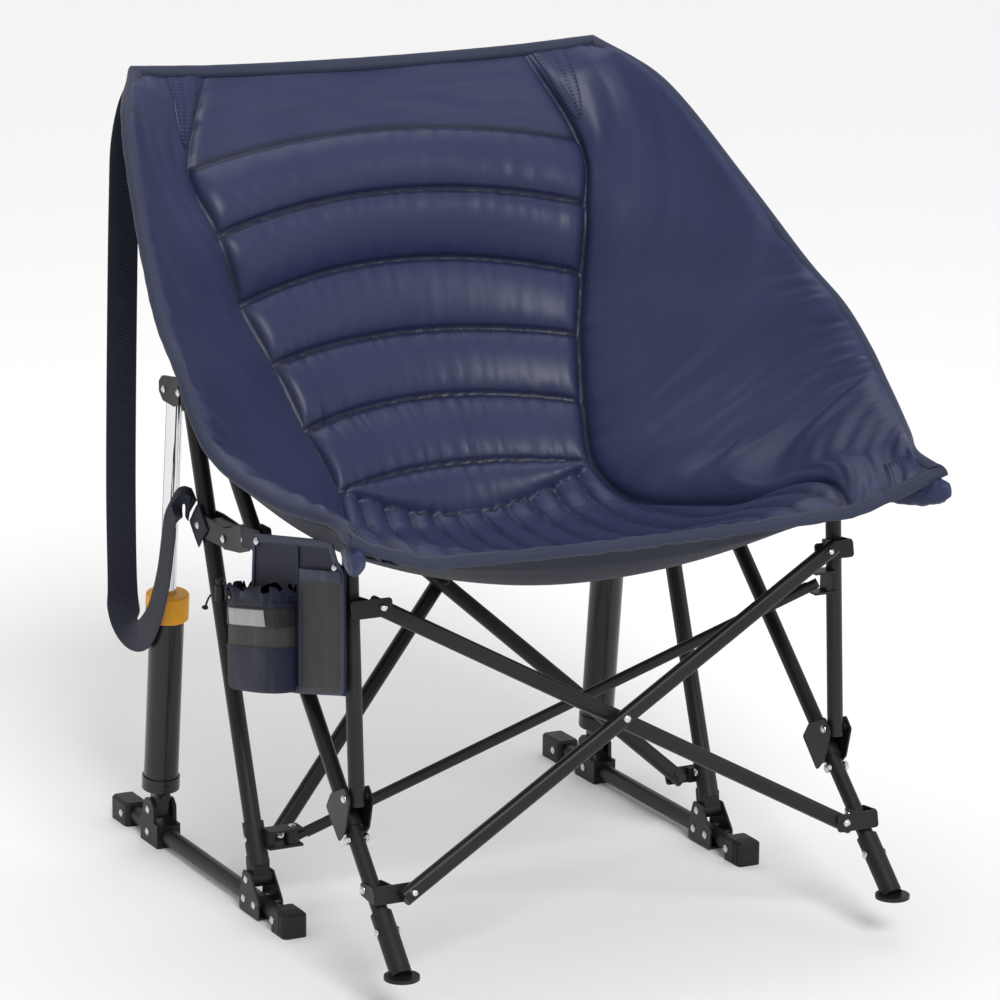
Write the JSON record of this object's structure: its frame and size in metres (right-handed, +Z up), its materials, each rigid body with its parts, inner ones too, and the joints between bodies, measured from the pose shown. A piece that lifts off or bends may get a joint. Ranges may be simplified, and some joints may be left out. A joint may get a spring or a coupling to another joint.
{
  "type": "camp rocking chair",
  "caption": "Folding camp rocking chair: black tube frame on two floor rails, shock struts, padded navy bucket seat, side organiser and carry strap.",
  "frame": {"origin": "on the floor, midway between the rails, directly under the rocking pivots", "axes": "+X across the chair to the sitter's left hand, which is the right side seen from the front; +Y towards the back; +Z up"},
  "size_m": [0.852, 0.8145, 0.9284],
  "materials": {
    "powder_coat": "satin black powder coat on steel tube and brackets",
    "rivet_steel": "bright plated rivets",
    "rod_chrome": "polished chrome piston rod",
    "black_plastic": "fine grained black nylon moulding",
    "shock_black": "semi gloss black lacquer",
    "collar_yellow": "golden yellow moulding",
    "navy_quilt": "padded satin weave polyester, quilted",
    "navy_cloth": "plain weave polyester with bound edges",
    "grey_mesh": "open mesh with bound edges",
    "navy_webbing": "woven polyester webbing",
    "black_cord": "braided cord"
  },
  "bodies": {
    "base_left": {"rail_l": "powder_coat", "rail_caps_l": "black_plastic", "cheeks_l": "powder_coat", "saddle_l": "black_plastic", "rail_rivets_l": "rivet_steel"},
    "chair": {"back_post_l": "powder_coat", "back_post_r": "powder_coat", "brace_rod": "powder_coat", "carry_strap": "navy_webbing", "cord_lock": "black_plastic", "cup_pouch": "navy_cloth", "drawstring": "black_cord", "front_cross_a": "powder_coat", "front_cross_b": "powder_coat", "front_foot_l": "black_plastic", "front_foot_r": "black_plastic", "front_leg_clip_l": "powder_coat", "front_leg_clip_r": "powder_coat", "front_leg_l": "powder_coat", "front_leg_r": "powder_coat", "front_leg_rivets": "rivet_steel", "front_post_l": "powder_coat", "front_post_r": "powder_coat", "hub_bracket_l": "powder_coat", "hub_bracket_r": "powder_coat", "hub_sleeve_l": "black_plastic", "hub_sleeve_r": "black_plastic", "leg_boot_l": "black_plastic", "leg_boot_r": "black_plastic", "leg_cap_l": "black_plastic", "leg_cap_r": "black_plastic", "leg_clip_l": "powder_coat", "leg_clip_r": "powder_coat", "leg_rivets": "rivet_steel", "lower_ear_l": "powder_coat", "lower_ear_r": "powder_coat", "organiser_panel": "navy_cloth", "phone_pocket": "grey_mesh", "rear_cross_c": "powder_coat", "rear_cross_d": "powder_coat", "rear_leg_l": "powder_coat", "rear_leg_r": "powder_coat", "seat_bucket": "navy_quilt", "strap_tab": "navy_webbing", "upper_ear_l": "powder_coat", "upper_ear_r": "powder_coat"},
    "base_right": {"rail_r": "powder_coat", "rail_caps_r": "black_plastic", "cheeks_r": "powder_coat", "saddle_r": "black_plastic", "rail_rivets_r": "rivet_steel"},
    "shock_left": {"shock_cylinder_l": "shock_black", "shock_foot_l": "shock_black", "shock_collar_l": "collar_yellow"},
    "piston_left": {"shock_rod_l": "rod_chrome"},
    "shock_right": {"shock_cylinder_r": "shock_black", "shock_foot_r": "shock_black", "shock_collar_r": "collar_yellow"},
    "piston_right": {"shock_rod_r": "rod_chrome"},
    "lock_button": {"cord_lock_button": "black_plastic"}
  },
  "joints": [
    {"name": "rock", "type": "hinge", "parent": "base_left", "child": "chair", "pos_m": [-0.295, 0, 0.0415], "axis": [-1, 0, 0], "range_deg": [-7, 12], "stiffness_Nm_per_rad": 300, "springref_deg": -0.29},
    {"name": "base_right_pivot", "type": "hinge", "parent": "chair", "child": "base_right", "pos_m": [0.295, 0, 0.0415], "axis": [1, 0, 0], "range_deg": [-7.1, 12.1]},
    {"name": "shock_left_tilt", "type": "hinge", "parent": "base_left", "child": "shock_left", "pos_m": [-0.295, 0.284, 0.0425], "axis": [-1, 0, 0], "range_deg": [-7, 12]},
    {"name": "piston_left_slide", "type": "slide", "parent": "shock_left", "child": "piston_left", "axis": [0, -0.1062, 0.9943], "range_m": [-0.06, 0.036]},
    {"name": "shock_right_tilt", "type": "hinge", "parent": "base_right", "child": "shock_right", "pos_m": [0.295, 0.284, 0.0425], "axis": [-1, 0, 0], "range_deg": [-7, 12]},
    {"name": "piston_right_slide", "type": "slide", "parent": "shock_right", "child": "piston_right", "axis": [0, -0.1062, 0.9943], "range_m": [-0.06, 0.036]},
    {"name": "lock_button_press", "type": "slide", "parent": "chair", "child": "lock_button", "axis": [0, 0, -1], "range_m": [0, 0.0035], "stiffness_N_per_m": 250, "springref_m": -0.001}
  ],
  "couplings": [
    {"joint": "base_right_pivot", "follows": "rock", "ratio": 1},
    {"joint": "shock_left_tilt", "follows": "rock", "ratio": 0.97},
    {"joint": "shock_right_tilt", "follows": "rock", "ratio": 0.97},
    {"joint": "piston_left_slide", "follows": "rock", "m_per_rad": -0.2836},
    {"joint": "piston_right_slide", "follows": "rock", "m_per_rad": -0.2836}
  ]
}
